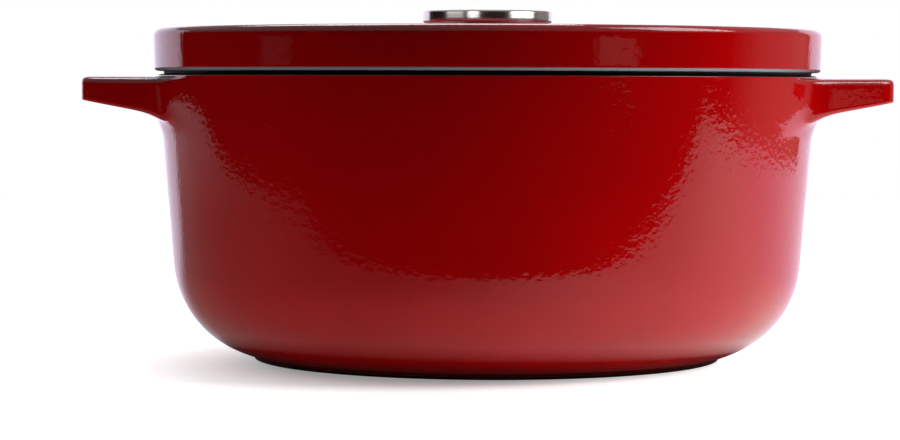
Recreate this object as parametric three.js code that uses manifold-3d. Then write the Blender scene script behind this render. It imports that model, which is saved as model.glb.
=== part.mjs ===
// A round cast-iron casserole with two loop handles, a sunken lid and a low steel knob.
// Millimetres, +Z up. The origin is the middle of the base, and the handles lie along X.

import * as THREE from 'three';
import { mergeVertices } from 'three/addons/utils/BufferGeometryUtils.js';
import Module from 'manifold-3d';

// Pot: wall, floor and base
const potRimDiameter = 268;
const potHeight = 115.5;
const wallThickness = 4.2;
const wallDraft = 4.8;
const floorThickness = 5;
const cornerRadius = 40;
const basePadDiameter = 188;
const basePadHeight = 1.2;
const rimRound = 1.2;

// Handles: one squared loop on each side, cast with the wall
const handleReach = 28;
const handleDrop = 1.8;
const handleTipWidth = 74;
const handleRootWidth = 82;
const handleTipThickness = 9.3;
const handleRootThickness = 15.9;
const handleCornerRadius = 7;
const handleTopRound = 1.6;
const handleUnderRound = 3.2;
const handleRootDepth = 1.6;
const tipEdgeShrink = 0.7;
const sideFlare = 15;
const sideFlareReach = 13;
const underFlare = 7;
const underFlareReach = 9;
const topFlare = 0.9;
const topFlareReach = 2;
const gripBar = 11;
const slotWidth = 48;
const slotInset = 2.2;
const slotCornerRadius = 6;
const slotEdgeRound = 1.5;
const gripSplit = 2.5;

// Lid: raised outer wall, sunken top, seating land and locating ring
const lidOverhang = 1.9;
const lidWallHeight = 17;
const lidDraft = 2;
const lidGap = 1.2;
const lidWallThickness = 6.4;
const lidTopRound = 3;
const lidInnerRound = 2.2;
const lidLipRound = 1.5;
const dishDepth = 12;
const dishDraft = 8;
const dishRadius = 8;
const plateThickness = 4.4;
const landWidth = 3.4;
const ringClearance = 1.6;
const ringDepth = 6;
const ringThickness = 5;
const ringRound = 1.5;
const ringDraft = 10;
const ringRootRadius = 3;
const bossDiameter = 30;
const bossHeight = 1.2;
const screwHoleDiameter = 7;

// Knob: disc, post and fastening
const knobDiameter = 52.6;
const knobThickness = 4.8;
const knobRise = 3;
const knobTopRound = 0.6;
const knobUnderRound = 1.4;
const knobUnderDrop = 0.5;
const stemHeadDiameter = 25;
const stemWaistDiameter = 16;
const stemFootDiameter = 22;
const stemRimHeight = 1.2;
const socketDepth = 1.5;
const fitClearance = 0.3;
const seatWasherDiameter = 20;
const seatWasherThickness = 1;
const screwDiameter = 6;
const screwEngagement = 9;
const boreTipClearance = 1;
const screwHeadDiameter = 11;
const screwHeadHeight = 3.4;
const screwHeadRound = 1.2;
const driveWidth = 4;
const driveDepth = 2;
const flatWasherDiameter = 16;
const flatWasherThickness = 1.2;
const lockWasherDiameter = 10;
const lockWasherThickness = 1.4;
const lockWasherSplit = 1.2;

// Facets round the large castings, the small turned pieces and each rounded edge
const castingFacets = 72;
const turnedFacets = 40;
const smallFacets = 24;
const edgeSteps = 3;
const cornerSteps = 8;
const spanSteps = 10;
const flareSteps = 6;
const tipSteps = 5;
const slotSteps = 4;
const flankSteps = 8;

// Colours
const redEnamel = { color: 0x9c0a0c, roughness: 0.12, metalness: 0 };
const brushedSteel = { color: 0xb9b6b2, roughness: 0.34, metalness: 1 };
const plainSteel = { color: 0x9a9a98, roughness: 0.4, metalness: 1 };
const softWasher = { color: 0x2b2a29, roughness: 0.8, metalness: 0 };

const wasm = await Module();
wasm.setup();

const radians = THREE.MathUtils.degToRad;
const rimRadius = potRimDiameter / 2;
const wallSlope = Math.tan(radians(wallDraft));
const mouthRadius = rimRadius - wallThickness / Math.cos(radians(wallDraft));

// Outside radius of the pot's wall at a height
function wallRadius(z) {
  return rimRadius - (potHeight - z) * wallSlope;
}

// Points of an arc about a centre, from one angle to another, both in radians
function arc(centreR, centreZ, radius, from, to, steps) {
  const points = [];
  for (let step = 0; step <= steps; step += 1) {
    const angle = from + ((to - from) * step) / steps;
    points.push(new THREE.Vector2(centreR + radius * Math.cos(angle), centreZ + radius * Math.sin(angle)));
  }
  return points;
}

// An outline from its sharp corners [r, z, rounding], with an arc at each corner that has a rounding.
// A rounding is limited by the edges beside it, and takes less than half of either.
const edgeShare = 0.49;
function rounded(corners, steps = edgeSteps) {
  const points = [];
  corners.forEach(([r, z, rounding = 0], index) => {
    const corner = new THREE.Vector2(r, z);
    if (rounding === 0) {
      points.push(corner);
      return;
    }
    const before = new THREE.Vector2(...corners[index - 1].slice(0, 2)).sub(corner);
    const after = new THREE.Vector2(...corners[index + 1].slice(0, 2)).sub(corner);
    const half = before.angleTo(after) / 2;
    const room = edgeShare * Math.min(before.length(), after.length());
    const tangent = Math.min(rounding / Math.tan(half), room);
    const radius = tangent * Math.tan(half);
    const start = corner.clone().addScaledVector(before.normalize(), tangent);
    const end = corner.clone().addScaledVector(after.normalize(), tangent);
    const toCentre = before.clone().add(after).normalize().multiplyScalar(radius / Math.sin(half));
    const centre = corner.clone().add(toCentre);
    const from = start.clone().sub(centre).angle();
    let sweep = end.clone().sub(centre).angle() - from;
    if (sweep > Math.PI) sweep -= 2 * Math.PI;
    if (sweep < -Math.PI) sweep += 2 * Math.PI;
    points.push(...arc(centre.x, centre.y, radius, from, from + sweep, steps));
  });
  return points;
}

// A geometry with only positions, shared vertices merged and no collapsed triangles
function welded(geometry) {
  const bare = geometry.clone();
  bare.deleteAttribute('normal');
  bare.deleteAttribute('uv');
  const merged = mergeVertices(bare, 1e-4);
  const index = merged.getIndex().array;
  const kept = [];
  for (let i = 0; i < index.length; i += 3) {
    const [a, b, c] = index.slice(i, i + 3);
    if (a !== b && b !== c && c !== a) kept.push(a, b, c);
  }
  merged.setIndex(kept);
  return merged;
}

function toSolid(geometry) {
  const merged = welded(geometry);
  const vertProperties = new Float32Array(merged.getAttribute('position').array);
  const triVerts = new Uint32Array(merged.getIndex().array);
  return new wasm.Manifold(new wasm.Mesh({ numProp: 3, vertProperties, triVerts }));
}

function toGeometry(solid) {
  const mesh = solid.getMesh();
  const geometry = new THREE.BufferGeometry();
  geometry.setAttribute('position', new THREE.BufferAttribute(new Float32Array(mesh.vertProperties), 3));
  geometry.setIndex(Array.from(mesh.triVerts));
  geometry.computeVertexNormals();
  return geometry;
}

// A turned solid about Z from its profile of (radius, height) points, given anticlockwise
function turned(profile, facets) {
  const geometry = new THREE.LatheGeometry(profile, facets);
  geometry.rotateX(Math.PI / 2);
  return welded(geometry);
}

// A closed solid through rings of equal count, with its two ends closed by fans
function loft(rings) {
  const count = rings[0].length;
  const position = [];
  const index = [];
  rings.forEach((ring) => ring.forEach((point) => position.push(point.x, point.y, point.z)));
  for (let row = 0; row + 1 < rings.length; row += 1) {
    for (let i = 0; i < count; i += 1) {
      const a = row * count + i;
      const b = row * count + ((i + 1) % count);
      index.push(a, b, b + count, a, b + count, a + count);
    }
  }
  [0, rings.length - 1].forEach((row) => {
    const middle = new THREE.Vector3();
    rings[row].forEach((point) => middle.addScaledVector(point, 1 / count));
    const hub = position.length / 3;
    position.push(middle.x, middle.y, middle.z);
    for (let i = 0; i < count; i += 1) {
      const a = row * count + i;
      const b = row * count + ((i + 1) % count);
      index.push(...(row === 0 ? [hub, b, a] : [hub, a, b]));
    }
  });
  const geometry = new THREE.BufferGeometry();
  geometry.setAttribute('position', new THREE.Float32BufferAttribute(position, 3));
  geometry.setIndex(index);
  return geometry;
}

function mesh(name, geometry, look) {
  const piece = new THREE.Mesh(geometry, new THREE.MeshStandardMaterial(look));
  piece.name = name;
  return piece;
}

// Pot

// The solid of the pot's outside: the wall runs down into a large corner arc, which ends at the base pad.
function potOutside() {
  const draft = radians(wallDraft);
  const padRadius = basePadDiameter / 2;
  const cornerZ = basePadHeight + cornerRadius;
  const cornerR = wallRadius(cornerZ) - cornerRadius / Math.cos(draft);
  const padAngle = Math.acos(THREE.MathUtils.clamp((padRadius - cornerR) / cornerRadius, 0, 1));
  const corner = arc(cornerR, cornerZ, cornerRadius, -padAngle, -draft, cornerSteps);
  const profile = [
    new THREE.Vector2(0, 0),
    new THREE.Vector2(padRadius, 0),
    new THREE.Vector2(padRadius, corner[0].y),
    ...corner,
    ...rounded([corner.at(-1).toArray(), [rimRadius, potHeight, rimRound], [0, potHeight]]).slice(1),
  ];
  return turned(profile, castingFacets);
}

// The solid of the space inside, which follows the outside at the wall's thickness and eases over the rim
function potInside() {
  const draft = radians(wallDraft);
  const radius = cornerRadius - wallThickness;
  const cornerZ = floorThickness + radius;
  const cornerR = wallRadius(cornerZ) - (wallThickness + radius) / Math.cos(draft);
  const corner = arc(cornerR, cornerZ, radius, -Math.PI / 2, -draft, cornerSteps);
  const wallFoot = corner.at(-1).toArray();
  const rim = rounded([wallFoot, [mouthRadius, potHeight, rimRound], [rimRadius, potHeight]]);
  const mouth = rim.at(-2);
  const profile = [
    new THREE.Vector2(0, floorThickness),
    ...corner,
    ...rim.slice(1, -1),
    new THREE.Vector2(mouth.x, potHeight + rimRound),
    new THREE.Vector2(0, potHeight + rimRound),
  ];
  return turned(profile, castingFacets);
}

const handleTipX = rimRadius + handleReach;
const handleTop = potHeight - handleDrop;
const handleLength = handleTipX - wallRadius(handleTop);

// A point of the handle at a distance out from the wall: the wall's curve fades into the straight tip.
function handlePoint(out, y, z) {
  const wallX = Math.sqrt(wallRadius(z) ** 2 - y ** 2);
  const share = Math.max(out / handleLength, 0);
  const inside = Math.min(out, 0);
  return new THREE.Vector3(wallX + (handleTipX - wallX) * share + inside, y, z);
}

// How far a concave root fillet stands off at a distance out from the wall
function flare(out, amount, reach) {
  const cosine = THREE.MathUtils.clamp(1 - out / reach, 0, 1);
  return amount * (1 - Math.sqrt(1 - cosine ** 2));
}

// How far a rounded end has drawn in at a distance from the tip
function drawnIn(fromTip, radius) {
  const sine = THREE.MathUtils.clamp(1 - fromTip / radius, 0, 1);
  return radius * (1 - Math.sqrt(1 - sine ** 2));
}

function handleUnder(out) {
  const share = Math.max(out / handleLength, 0);
  return handleTop - THREE.MathUtils.lerp(handleRootThickness, handleTipThickness, share);
}

// One section of the handle: a rounded rectangle whose lower edges are rounder than its upper ones
function handleSection(out) {
  const fromTip = handleLength - out;
  const share = Math.max(out / handleLength, 0);
  const top = handleTop + flare(out, topFlare, topFlareReach) - drawnIn(fromTip, handleTopRound);
  const under = handleUnder(out) - flare(out, underFlare, underFlareReach)
    + drawnIn(fromTip, handleUnderRound);
  const side = THREE.MathUtils.lerp(handleRootWidth, handleTipWidth, share) / 2
    + flare(out, sideFlare, sideFlareReach) - drawnIn(fromTip, handleCornerRadius);
  const sharpness = 1 - (tipEdgeShrink * drawnIn(fromTip, handleUnderRound)) / handleUnderRound;
  const topRound = handleTopRound * sharpness;
  const underRound = handleUnderRound * sharpness;
  const across = [];
  for (let step = 1; step < spanSteps; step += 1) {
    across.push((1 - (2 * step) / spanSteps) * (side - underRound));
  }
  const outline = [
    ...arc(side - topRound, top - topRound, topRound, 0, Math.PI / 2, edgeSteps),
    ...across.map((y) => new THREE.Vector2(y, top)),
    ...arc(topRound - side, top - topRound, topRound, Math.PI / 2, Math.PI, edgeSteps),
    ...arc(underRound - side, under + underRound, underRound, Math.PI, 1.5 * Math.PI, edgeSteps),
    ...across.map((y) => new THREE.Vector2(-y, under)),
    ...arc(side - underRound, under + underRound, underRound, -Math.PI / 2, 0, edgeSteps),
  ];
  return outline.map((point) => handlePoint(out, point.x, point.y));
}

function handleBar() {
  const quarter = Math.PI / 2;
  const stations = [-handleRootDepth, 0];
  for (let step = 1; step <= flareSteps; step += 1) {
    stations.push(sideFlareReach * (1 - Math.cos((quarter * step) / flareSteps)));
  }
  for (let step = 0; step <= tipSteps; step += 1) {
    stations.push(handleLength - handleCornerRadius * (1 - Math.sin((quarter * step) / tipSteps)));
  }
  return loft(stations.map(handleSection));
}

// The finger slot: a rounded opening whose inner side follows the wall, with eased edges above and below
function slotCutter() {
  const outer = handleLength - gripBar;
  const ring = (ease, height) => {
    const corner = slotCornerRadius + ease;
    const near = slotInset - ease + corner;
    const far = outer + ease - corner;
    const side = slotWidth / 2 + ease - corner;
    const outline = [
      ...arc(far, -side, corner, -Math.PI / 2, 0, slotSteps),
      ...arc(far, side, corner, 0, Math.PI / 2, slotSteps),
      ...arc(near, side, corner, Math.PI / 2, Math.PI, slotSteps),
      new THREE.Vector2(slotInset - ease, side / 2),
      new THREE.Vector2(slotInset - ease, 0),
      new THREE.Vector2(slotInset - ease, -side / 2),
      ...arc(near, -side, corner, Math.PI, 1.5 * Math.PI, slotSteps),
    ];
    return outline.map((point) => {
      const place = handlePoint(point.x, point.y, handleTop);
      place.z = height(point.x);
      return place;
    });
  };
  const below = (depth) => (out) => handleUnder(out) + depth;
  const above = (depth) => () => handleTop - depth;
  const easing = [0, 0.3, 1].map((share) => share * slotEdgeRound);
  const rings = [ring(slotEdgeRound, below(-handleRootThickness))];
  easing.forEach((depth) => rings.push(ring(drawnIn(depth, slotEdgeRound), below(depth))));
  easing.reverse().forEach((depth) => rings.push(ring(drawnIn(depth, slotEdgeRound), above(depth))));
  rings.push(ring(slotEdgeRound, above(-handleRootThickness)));
  return loft(rings);
}

// The pot with both loops. Each loop's arms and grip part from the casting at a flat plane outside the rim,
// and the flared roots stay with the wall.
function potCasting() {
  const bar = toSolid(handleBar());
  const slot = toSolid(slotCutter());
  const loop = bar.subtract(slot);
  const outside = toSolid(potOutside()).add(loop).add(loop.rotate([0, 0, 180]));
  const casting = outside.subtract(toSolid(potInside()));
  const splitX = rimRadius + gripSplit;
  const [right, rest] = casting.splitByPlane([1, 0, 0], splitX);
  const [left, body] = rest.splitByPlane([-1, 0, 0], splitX);
  return { body: toGeometry(body), right: toGeometry(right), left: toGeometry(left) };
}

// Lid

const lidRadius = rimRadius + lidOverhang;
const lipZ = potHeight + lidGap;
const lidTop = lipZ + lidWallHeight;
const dishFloor = lidTop - dishDepth;
const plateUnder = dishFloor - plateThickness;
const bossTop = dishFloor + bossHeight;

// The outer wall stands on the plate's edge. Below it are the lip, the land that seats on the pot's rim
// and the ring that drops into its mouth.
function lidBody() {
  const lipRadius = lidRadius - lidWallHeight * Math.tan(radians(lidDraft));
  const ringOuter = mouthRadius - ringClearance;
  const landOuter = ringOuter + landWidth;
  const ringInner = ringOuter - ringThickness;
  const ringBottom = potHeight - ringDepth;
  const wallInner = lidRadius - lidWallThickness;
  const dishEdge = wallInner - dishDepth * Math.tan(radians(dishDraft));
  const hole = screwHoleDiameter / 2;
  const boss = bossDiameter / 2;
  const profile = rounded([
    [hole, plateUnder],
    [ringInner - (plateUnder - ringBottom) * Math.tan(radians(ringDraft)), plateUnder, ringRootRadius],
    [ringInner, ringBottom, ringRound],
    [ringOuter, ringBottom, ringRound],
    [ringOuter, potHeight],
    [landOuter, potHeight],
    [landOuter, lipZ],
    [lipRadius, lipZ, lidLipRound],
    [lidRadius, lidTop, lidTopRound],
    [wallInner, lidTop, lidInnerRound],
    [dishEdge, dishFloor, dishRadius],
    [boss + bossHeight, dishFloor],
    [boss, bossTop],
    [hole, bossTop],
    [hole, plateUnder],
  ]);
  return turned(profile, castingFacets);
}

// Knob

const knobUnder = lidTop + knobRise;
const stemFoot = bossTop + seatWasherThickness;
const stemTop = knobUnder + socketDepth;
const boreRadius = screwDiameter / 2 + fitClearance;

// The disc has a nearly square upper edge, a rounder lower one, and a shallow socket for the post's head.
function knobCap() {
  const radius = knobDiameter / 2;
  const socket = stemHeadDiameter / 2 + fitClearance;
  const profile = rounded([
    [0, stemTop],
    [socket, stemTop],
    [socket, knobUnder - knobUnderDrop + fitClearance],
    [radius, knobUnder, knobUnderRound],
    [radius, knobUnder + knobThickness, knobTopRound],
    [0, knobUnder + knobThickness],
  ]);
  return turned(profile, turnedFacets);
}

// The post narrows to a waist between its foot and its head, and has a blind bore for the screw.
function knobStem() {
  const foot = stemFootDiameter / 2;
  const waist = stemWaistDiameter / 2;
  const head = stemHeadDiameter / 2;
  const headUnder = stemTop - socketDepth - knobUnderDrop;
  const boreTop = stemFoot + screwEngagement + boreTipClearance;
  const flank = new THREE.SplineCurve([
    new THREE.Vector2(foot, stemFoot + stemRimHeight),
    new THREE.Vector2(waist, (stemFoot + stemRimHeight + headUnder) / 2),
    new THREE.Vector2(head, headUnder),
  ]);
  const profile = [
    new THREE.Vector2(0, boreTop),
    new THREE.Vector2(boreRadius, boreTop),
    new THREE.Vector2(boreRadius, stemFoot),
    new THREE.Vector2(foot, stemFoot),
    ...flank.getPoints(flankSteps),
    new THREE.Vector2(head, stemTop),
    new THREE.Vector2(0, stemTop),
  ];
  return turned(profile, turnedFacets);
}

// A flat ring between two radii
function ringPlate(inner, outer, from, thickness) {
  const corners = [
    [inner, from],
    [outer, from],
    [outer, from + thickness],
    [inner, from + thickness],
    [inner, from],
  ];
  return turned(rounded(corners), smallFacets);
}

const flatWasherZ = plateUnder - flatWasherThickness;
const lockWasherZ = flatWasherZ - lockWasherThickness;

// The spring washer is cut through on one side.
function lockWasher() {
  const outer = lockWasherDiameter / 2;
  const plate = toSolid(ringPlate(boreRadius, outer, lockWasherZ, lockWasherThickness));
  const cut = new THREE.BoxGeometry(lockWasherDiameter, lockWasherSplit, 2 * lockWasherThickness);
  cut.translate(outer, 0, lockWasherZ + lockWasherThickness / 2);
  return toGeometry(plate.subtract(toSolid(cut)));
}

// A low round head with a hexagon socket, and a plain shank of the thread's diameter
function knobScrew() {
  const shank = screwDiameter / 2;
  const head = screwHeadDiameter / 2;
  const headBottom = lockWasherZ - screwHeadHeight;
  const profile = rounded([
    [0, headBottom],
    [head, headBottom, screwHeadRound],
    [head, lockWasherZ],
    [shank, lockWasherZ],
    [shank, stemFoot + screwEngagement],
    [0, stemFoot + screwEngagement],
  ]);
  const across = driveWidth / Math.sqrt(3);
  const drive = new THREE.CylinderGeometry(across, across, 2 * driveDepth, 6);
  drive.rotateX(Math.PI / 2);
  drive.translate(0, 0, headBottom);
  return toGeometry(toSolid(turned(profile, smallFacets)).subtract(toSolid(drive)));
}

const casting = potCasting();
const pot = new THREE.Group();
pot.add(mesh('pot_body', casting.body, redEnamel));
pot.add(mesh('handle_right', casting.right, redEnamel));
pot.add(mesh('handle_left', casting.left, redEnamel));

const lid = new THREE.Group();
lid.add(mesh('lid_body', lidBody(), redEnamel));
lid.add(mesh('knob_cap', knobCap(), brushedSteel));
lid.add(mesh('knob_stem', knobStem(), plainSteel));
lid.add(mesh(
  'knob_seat_washer',
  ringPlate(boreRadius, seatWasherDiameter / 2, bossTop, seatWasherThickness),
  softWasher,
));
lid.add(mesh('knob_screw', knobScrew(), plainSteel));
lid.add(mesh(
  'screw_washer',
  ringPlate(boreRadius, flatWasherDiameter / 2, flatWasherZ, flatWasherThickness),
  plainSteel,
));
lid.add(mesh('lock_washer', lockWasher(), plainSteel));

const casserole = new THREE.Group();
casserole.add(pot, lid);

export default casserole;
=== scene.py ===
"""Dresses a round enamelled cast-iron casserole pot: castings, steel knob, finishes and a plain studio."""

from __future__ import annotations

import logging
import math
from dataclasses import dataclass
from enum import Enum, IntEnum
from typing import NamedTuple

import bmesh
import bpy
from bmesh.types import BMEdge, BMesh, BMFace, BMVert
from bpy.types import Material, Node, NodeSocket, NodeTree, Object
from mathutils import Euler, Matrix, Vector

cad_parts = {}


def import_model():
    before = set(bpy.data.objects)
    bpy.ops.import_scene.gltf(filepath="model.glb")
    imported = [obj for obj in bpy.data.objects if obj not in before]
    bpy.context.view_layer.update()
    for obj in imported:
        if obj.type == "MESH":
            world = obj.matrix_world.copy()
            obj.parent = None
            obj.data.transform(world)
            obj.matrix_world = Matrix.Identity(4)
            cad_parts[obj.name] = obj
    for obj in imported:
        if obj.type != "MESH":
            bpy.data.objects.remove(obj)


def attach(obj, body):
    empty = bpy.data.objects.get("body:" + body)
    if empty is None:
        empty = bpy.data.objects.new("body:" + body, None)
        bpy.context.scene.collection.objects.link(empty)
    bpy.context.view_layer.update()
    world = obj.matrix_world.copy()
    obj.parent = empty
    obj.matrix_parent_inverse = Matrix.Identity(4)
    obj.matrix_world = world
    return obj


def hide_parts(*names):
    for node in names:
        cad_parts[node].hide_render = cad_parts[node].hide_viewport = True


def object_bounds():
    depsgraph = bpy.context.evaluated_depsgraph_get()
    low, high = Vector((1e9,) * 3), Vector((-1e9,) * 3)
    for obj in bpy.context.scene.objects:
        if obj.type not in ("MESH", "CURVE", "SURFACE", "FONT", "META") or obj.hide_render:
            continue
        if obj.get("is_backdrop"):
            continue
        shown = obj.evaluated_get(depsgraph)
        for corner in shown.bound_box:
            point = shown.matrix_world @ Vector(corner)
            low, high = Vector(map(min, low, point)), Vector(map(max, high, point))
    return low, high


MM = 0.001
IMAGE_WIDTH = 900
IMAGE_HEIGHT = 440
# Points this close, in metres, are one point, and heights this close, in millimetres, agree.
WELD = 1e-7
NEAR = 0.01
# A mix node has several sockets of each name, so they go by number: those for colours, and those for values.
COLOUR_A, COLOUR_B, COLOUR_OUT = 6, 7, 2
VALUE_A, VALUE_B, VALUE_OUT = 2, 3, 0
Pair = tuple[float, float]
Triple = tuple[float, float, float]
# The points round one station of a handle, by column and row.
Ring = dict[tuple[int, int], BMVert]
log = logging.getLogger("casserole")


class Corner(NamedTuple):
    """A corner of a turned outline: radius, height and the tangent rounding there, all in millimetres."""

    r: float
    z: float
    rounding: float = 0.0


class Panel(NamedTuple):
    """A pale panel on the studio's horizon.

    Its ends are headings in degrees from +Y towards +X, its foot and head are the upward part of the
    direction to them, and soft is the half width of its upright edges in degrees.
    """

    start: float
    end: float
    foot: float
    head: float
    colour: str
    soft: float = 1.0


class Lamp(NamedTuple):
    """A soft rectangular lamp: its place and its width and height in metres, and its power in watts."""

    name: str
    at: Triple
    size: Pair
    power: float


class Face(Enum):
    """The finishes on one casting, in the order of its material slots."""

    GLOSS = 0
    EDGE = 1
    SEAT = 2
    INSIDE = 3


class Row(IntEnum):
    """The rows of points in a handle's section."""

    UNDER = 0
    SIDE = 1
    TOP = 2


class Ride(Enum):
    """The bodies of the frame that the pieces move with."""

    POT = "pot"
    LID = "lid"


def linear(colour: str) -> tuple[float, float, float, float]:
    """Turns an sRGB hex colour into linear light.

    Args:
        colour: Six hex digits, such as "9c0a0c".

    Returns:
        Red, green, blue and an alpha of 1.
    """
    parts = [int(colour[i : i + 2], 16) / 255 for i in (0, 2, 4)]
    light = [c / 12.92 if c <= 0.04045 else ((c + 0.055) / 1.055) ** 2.4 for c in parts]
    return (light[0], light[1], light[2], 1.0)


def add_node(
    tree: NodeTree,
    kind: str,
    settings: dict[str, object] | None = None,
    inputs: dict[str | int, object] | None = None,
) -> Node:
    """Adds a node with its settings, values and links.

    Args:
        tree: The node tree to add to.
        kind: The node's type name.
        settings: Properties of the node itself.
        inputs: Values or output sockets for its inputs, by name or index.

    Returns:
        The new node.
    """
    node = tree.nodes.new(kind)
    for name, value in (settings or {}).items():
        setattr(node, name, value)
    for socket, value in (inputs or {}).items():
        if isinstance(value, NodeSocket):
            tree.links.new(value, node.inputs[socket])
        else:
            node.inputs[socket].default_value = value
    return node


def set_ramp(node: Node, stops: list[tuple[float, tuple[float, ...]]]) -> Node:
    """Sets the stops of a colour ramp.

    Args:
        node: A colour ramp node.
        stops: Pairs of position and linear colour, in order.

    Returns:
        The same node.
    """
    elements = node.color_ramp.elements
    while len(elements) < len(stops):
        elements.new(1.0)
    for element, (position, colour) in zip(elements, stops):
        element.position = position
        element.color = colour
    return node


def new_material(name: str) -> tuple[Material, NodeTree, Node]:
    """Starts a node material.

    Args:
        name: The material's name.

    Returns:
        The material, its tree and its output node.
    """
    material = bpy.data.materials.new(name)
    material.use_nodes = True
    material.node_tree.nodes.clear()
    output = add_node(material.node_tree, "ShaderNodeOutputMaterial")
    return material, material.node_tree, output


def roughen(
    tree: NodeTree,
    place: NodeSocket,
    size: float,
    depth: float,
    detail: float = 3.0,
    roughness: float = 0.5,
    strength: float = 1.0,
    under: NodeSocket | None = None,
) -> tuple[NodeSocket, NodeSocket]:
    """Adds a noise of a real size and the bumps that it makes.

    Args:
        tree: The material's tree.
        place: The coordinates of the noise.
        size: The noise's size in millimetres.
        depth: The depth of the bumps in millimetres.
        detail: The steps of finer noise.
        roughness: The share of the finer noise.
        strength: The strength of the bumps.
        under: The normal of the surface that they lie on, where that has bumps too.

    Returns:
        The noise and the normal of the bumps.
    """
    noise = add_node(
        tree,
        "ShaderNodeTexNoise",
        inputs={"Vector": place, "Scale": 1 / (size * MM), "Detail": detail, "Roughness": roughness},
    ).outputs["Fac"]
    inputs = {"Strength": strength, "Distance": depth * MM, "Height": noise}
    if under is not None:
        inputs["Normal"] = under
    bump = add_node(tree, "ShaderNodeBump", inputs=inputs)
    return noise, bump.outputs["Normal"]


def new_piece(
    name: str,
    bm: BMesh,
    body: Ride,
    nodes: tuple[str, ...],
    finishes: list[Material],
) -> Object:
    """Makes an object of a mesh and puts it on its body in place of its plain nodes.

    Args:
        name: The piece's name.
        bm: Its mesh, in metres and in place. It is freed here.
        body: The body that it rides on.
        nodes: The frame's nodes that it stands for.
        finishes: Its materials, in slot order.

    Returns:
        The new object.
    """
    mesh = bpy.data.meshes.new(name)
    bm.to_mesh(mesh)
    bm.free()
    for finish in finishes:
        mesh.materials.append(finish)
    mesh.shade_smooth()
    piece = bpy.data.objects.new(name, mesh)
    bpy.context.scene.collection.objects.link(piece)
    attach(piece, body.value)
    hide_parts(*nodes)
    log.info("%s: %d faces on %s", name, len(mesh.polygons), body.value)
    return piece


def turn(
    corners: list[Corner],
    segments: int,
    arc_steps: int,
    longest: float,
    closed: bool,
) -> BMesh:
    """Turns an outline about Z.

    Args:
        corners: The outline's corners, in order.
        segments: Steps of the full turn.
        arc_steps: Steps of each rounded corner.
        longest: The longest edge left along the outline, in millimetres.
        closed: Whether the outline joins its own start, or else begins and ends on the axis.

    Returns:
        A closed mesh in metres, with its faces pointing outwards.
    """
    bm = bmesh.new()
    verts = [bm.verts.new((c.r * MM, 0.0, c.z * MM)) for c in corners]
    pairs = list(zip(verts, verts[1:]))
    if closed:
        pairs.append((verts[-1], verts[0]))
    for start, end in pairs:
        bm.edges.new((start, end))
    for vert, corner in zip(verts, corners):
        if corner.rounding == 0:
            continue
        arms = [edge.other_vert(vert).co - vert.co for edge in vert.link_edges]
        reach = corner.rounding * MM / math.tan(arms[0].angle(arms[1]) / 2)
        bmesh.ops.bevel(
            bm,
            geom=[vert],
            offset=reach,
            offset_type="OFFSET",
            affect="VERTICES",
            segments=arc_steps,
            profile=0.5,
            material=-1,
        )
    for edge in bm.edges[:]:
        cuts = int(edge.calc_length() / (longest * MM))
        if cuts:
            bmesh.ops.subdivide_edges(bm, edges=[edge], cuts=cuts)
    bmesh.ops.spin(
        bm,
        geom=bm.verts[:] + bm.edges[:],
        cent=(0, 0, 0),
        axis=(0, 0, 1),
        dvec=(0, 0, 0),
        angle=math.tau,
        steps=segments,
        use_merge=True,
    )
    bmesh.ops.remove_doubles(bm, verts=bm.verts[:], dist=WELD)
    bmesh.ops.recalc_face_normals(bm, faces=bm.faces[:])
    return bm


@dataclass(frozen=True)
class GlossEnamel:
    """Vitreous enamel, sprayed and fired on rough cast iron.

    It is a thick coloured glass: a mirror gloss, with a fine orange peel and the longer waves of the casting
    under it, which break up the edges of every reflection.
    """

    name: str
    colour: str
    deep_colour: str
    roughness: float = 0.045
    ior: float = 1.52
    peel_size: float = 2.3
    peel_depth: float = 0.06
    wave_size: float = 17.0
    wave_depth: float = 0.08
    cloud_size: float = 60.0

    def build(self) -> Material:
        """Makes the material, with all of its patterns in millimetres."""
        material, tree, output = new_material(self.name)
        place = add_node(tree, "ShaderNodeTexCoord").outputs["Object"]
        clouds = add_node(
            tree,
            "ShaderNodeTexNoise",
            inputs={"Vector": place, "Scale": 1 / (self.cloud_size * MM), "Detail": 3.0},
        )
        tint = add_node(
            tree,
            "ShaderNodeMix",
            {"data_type": "RGBA"},
            {0: clouds.outputs["Fac"], COLOUR_A: linear(self.deep_colour), COLOUR_B: linear(self.colour)},
        )
        _, cast = roughen(tree, place, self.wave_size, self.wave_depth, detail=1.0, roughness=0.4)
        _, fired = roughen(
            tree, place, self.peel_size, self.peel_depth, detail=2.0, roughness=0.45, under=cast
        )
        shader = add_node(
            tree,
            "ShaderNodeBsdfPrincipled",
            inputs={
                "Base Color": tint.outputs[COLOUR_OUT],
                "Roughness": self.roughness,
                "IOR": self.ior,
                "Normal": fired,
            },
        )
        tree.links.new(shader.outputs["BSDF"], output.inputs["Surface"])
        return material


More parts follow.
